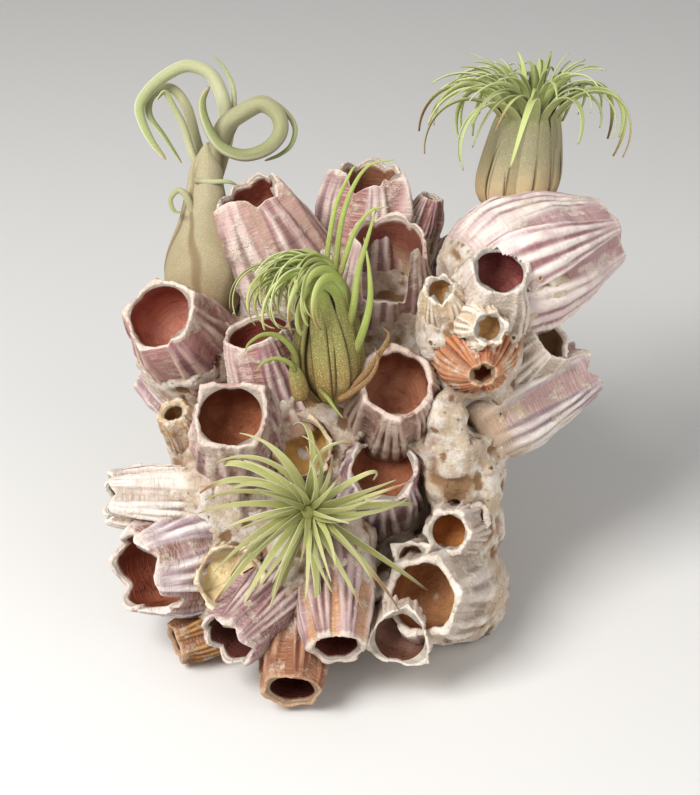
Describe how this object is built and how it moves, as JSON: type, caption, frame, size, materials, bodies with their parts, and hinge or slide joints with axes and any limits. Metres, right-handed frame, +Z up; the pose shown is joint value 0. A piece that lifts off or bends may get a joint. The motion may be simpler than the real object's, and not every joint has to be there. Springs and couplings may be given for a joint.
{
  "type": "barnacle cluster",
  "caption": "Cluster of giant barnacle shells grown together, open mouths facing outwards, planted with small air plants.",
  "frame": {"origin": "on the flat cut underside of the shared crust, at the spot the mount states", "axes": "+Z up, away from the cut face; the front, with most open mouths, faces -Y"},
  "size_m": [0.1966, 0.1861, 0.2011],
  "materials": {
    "shell": "matte",
    "crust": "matte",
    "curly_plant": "matte",
    "leaf_base": "matte",
    "leaf": "matte"
  },
  "bodies": {
    "root": {"barnacle_back_left": "shell", "barnacle_back_low_left": "shell", "barnacle_back_low_middle": "shell", "barnacle_back_low_right": "shell", "barnacle_back_middle": "shell", "barnacle_back_right": "shell", "barnacle_back_upper_left": "shell", "barnacle_back_upper_right": "shell", "barnacle_behind_plant": "shell", "barnacle_big_right": "shell", "barnacle_bottom_front": "shell", "barnacle_bottom_left": "shell", "barnacle_bottom_middle": "shell", "barnacle_bottom_tan": "shell", "barnacle_broken_middle": "shell", "barnacle_centre": "shell", "barnacle_centre_lower": "shell", "barnacle_cream_broken": "shell", "barnacle_left_big": "shell", "barnacle_left_centre": "shell", "barnacle_left_small": "shell", "barnacle_left_upper_low": "shell", "barnacle_orange_base": "shell", "barnacle_red_mouth": "shell", "barnacle_right_chalky": "shell", "barnacle_right_hollow": "shell", "barnacle_right_knob": "shell", "barnacle_right_low": "shell", "barnacle_right_lower": "shell", "barnacle_right_slit": "shell", "barnacle_right_small": "shell", "barnacle_right_white": "shell", "barnacle_small_left": "shell", "barnacle_small_right": "shell", "barnacle_top_knob": "shell", "barnacle_top_left": "shell", "barnacle_top_middle": "shell", "barnacle_upper_left": "shell", "barnacle_yellow_behind": "shell", "cement_crust": "crust", "curly_bulb": "curly_plant", "curly_leaf_crossing": "curly_plant", "curly_leaf_left_inner": "curly_plant", "curly_leaf_left_loop": "curly_plant", "curly_leaf_low_curl": "curly_plant", "curly_leaf_outer_ring": "curly_plant", "curly_leaf_ring": "curly_plant", "curly_leaf_stub": "curly_plant", "curly_leaf_upright": "curly_plant", "middle_plant_bulb": "leaf_base", "middle_plant_leaves": "leaf", "rosette_plant_bulb": "leaf_base", "rosette_plant_leaves": "leaf", "top_plant_bulb": "leaf_base", "top_plant_leaves": "leaf"}
  },
  "joints": []
}
